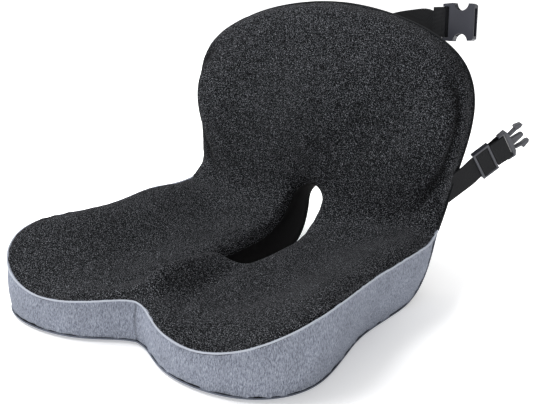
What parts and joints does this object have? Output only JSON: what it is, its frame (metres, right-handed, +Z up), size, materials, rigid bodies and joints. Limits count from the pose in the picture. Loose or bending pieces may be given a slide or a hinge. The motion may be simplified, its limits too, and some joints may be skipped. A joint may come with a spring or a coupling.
{
  "type": "seat cushion",
  "caption": "Contoured memory-foam seat cushion with an upright backrest in one body, a see-through tailbone slot, a light side band and a buckled webbing strap.",
  "frame": {"origin": "on the flat underside, in the left-right middle, between the front notch and the tailbone slot", "axes": "+Z up, away from the underside; +X across the seat, to the side with the male buckle half; -Y to the front edge with the notch, +Y to the backrest"},
  "size_m": [0.4765, 0.4912, 0.3388],
  "materials": {
    "black_knit": "heather knit with a fine two-tone rib",
    "grey_knit": "heather knit, streaked along its length",
    "light_piping": "smooth covered cord",
    "memory_foam": "open-cell foam, hidden under the cover",
    "black_webbing": "ribbed polyester webbing",
    "slate_plastic": "fine satin texture",
    "black_nylon": "moulded coil",
    "zinc": "dark plated"
  },
  "bodies": {
    "seat": {"seat_foam": "memory_foam", "seat_top_panel": "black_knit", "seat_side_band": "grey_knit", "seat_bottom_panel": "black_knit", "seat_slot_lining": "black_knit", "seat_piping": "light_piping"},
    "back": {"back_foam": "memory_foam", "back_front_panel": "black_knit", "back_rear_panel": "black_knit", "back_slot_lining": "black_knit", "back_piping": "black_knit", "zipper_tape_upper": "black_webbing", "zipper_tape_lower": "black_webbing", "zipper_teeth": "black_nylon", "zipper_stop_left": "zinc", "zipper_stop_right": "zinc"},
    "left_strap_end": {"left_strap": "black_webbing", "left_strap_loop": "black_webbing", "female_buckle": "slate_plastic"},
    "right_strap_end": {"right_strap": "black_webbing"},
    "adjuster": {"strap_slider": "slate_plastic", "strap_return_end": "black_webbing"},
    "male_half": {"male_buckle": "slate_plastic", "right_strap_loop": "black_webbing"},
    "prong_upper": {"buckle_prong_upper": "slate_plastic"},
    "prong_lower": {"buckle_prong_lower": "slate_plastic"},
    "zip_slider": {"zipper_slider": "zinc"},
    "zip_pull": {"zipper_pull": "zinc"}
  },
  "joints": [
    {"name": "back_flex", "type": "hinge", "parent": "seat", "child": "back", "pos_m": [0, 0.30877, 0.05553], "axis": [-1, 0, 0], "range_deg": [0, 12], "stiffness_Nm_per_rad": 40},
    {"name": "left_strap_swing", "type": "hinge", "parent": "back", "child": "left_strap_end", "pos_m": [-0.198, 0.31142, 0.12978], "axis": [-0.1551, 0.1545, 0.9757], "range_deg": [0, 100], "stiffness_Nm_per_rad": 0.3},
    {"name": "right_strap_swing", "type": "hinge", "parent": "back", "child": "right_strap_end", "pos_m": [0.1976, 0.30619, 0.13131], "axis": [0.1551, 0.1545, 0.9757], "range_deg": [-40, 45], "stiffness_Nm_per_rad": 0.1},
    {"name": "adjuster_slide", "type": "slide", "parent": "right_strap_end", "child": "adjuster", "axis": [-0.5354, -0.6237, -0.5695], "range_m": [0, 0.008]},
    {"name": "buckle_take_up", "type": "slide", "parent": "right_strap_end", "child": "male_half", "axis": [-0.5354, -0.6237, -0.5695], "range_m": [0, 0.004]},
    {"name": "prong_upper_flex", "type": "hinge", "parent": "male_half", "child": "prong_upper", "pos_m": [0.23922, 0.34904, 0.18626], "axis": [-0.8366, 0.4844, 0.2559], "range_deg": [0, 7], "stiffness_Nm_per_rad": 0.002},
    {"name": "prong_lower_flex", "type": "hinge", "parent": "male_half", "child": "prong_lower", "pos_m": [0.24196, 0.36352, 0.16782], "axis": [0.8366, -0.4844, -0.2559], "range_deg": [0, 7], "stiffness_Nm_per_rad": 0.002},
    {"name": "zip_travel", "type": "slide", "parent": "back", "child": "zip_slider", "axis": [1, 0, 0], "range_m": [0, 0.143]},
    {"name": "zip_pull_tilt", "type": "hinge", "parent": "zip_slider", "child": "zip_pull", "pos_m": [-0.072, 0.32318, 0.11071], "axis": [0, 0.1564, 0.9877], "range_deg": [0, 150]}
  ],
  "couplings": [
    {"joint": "buckle_take_up", "follows": "adjuster_slide", "ratio": 0.5}
  ]
}
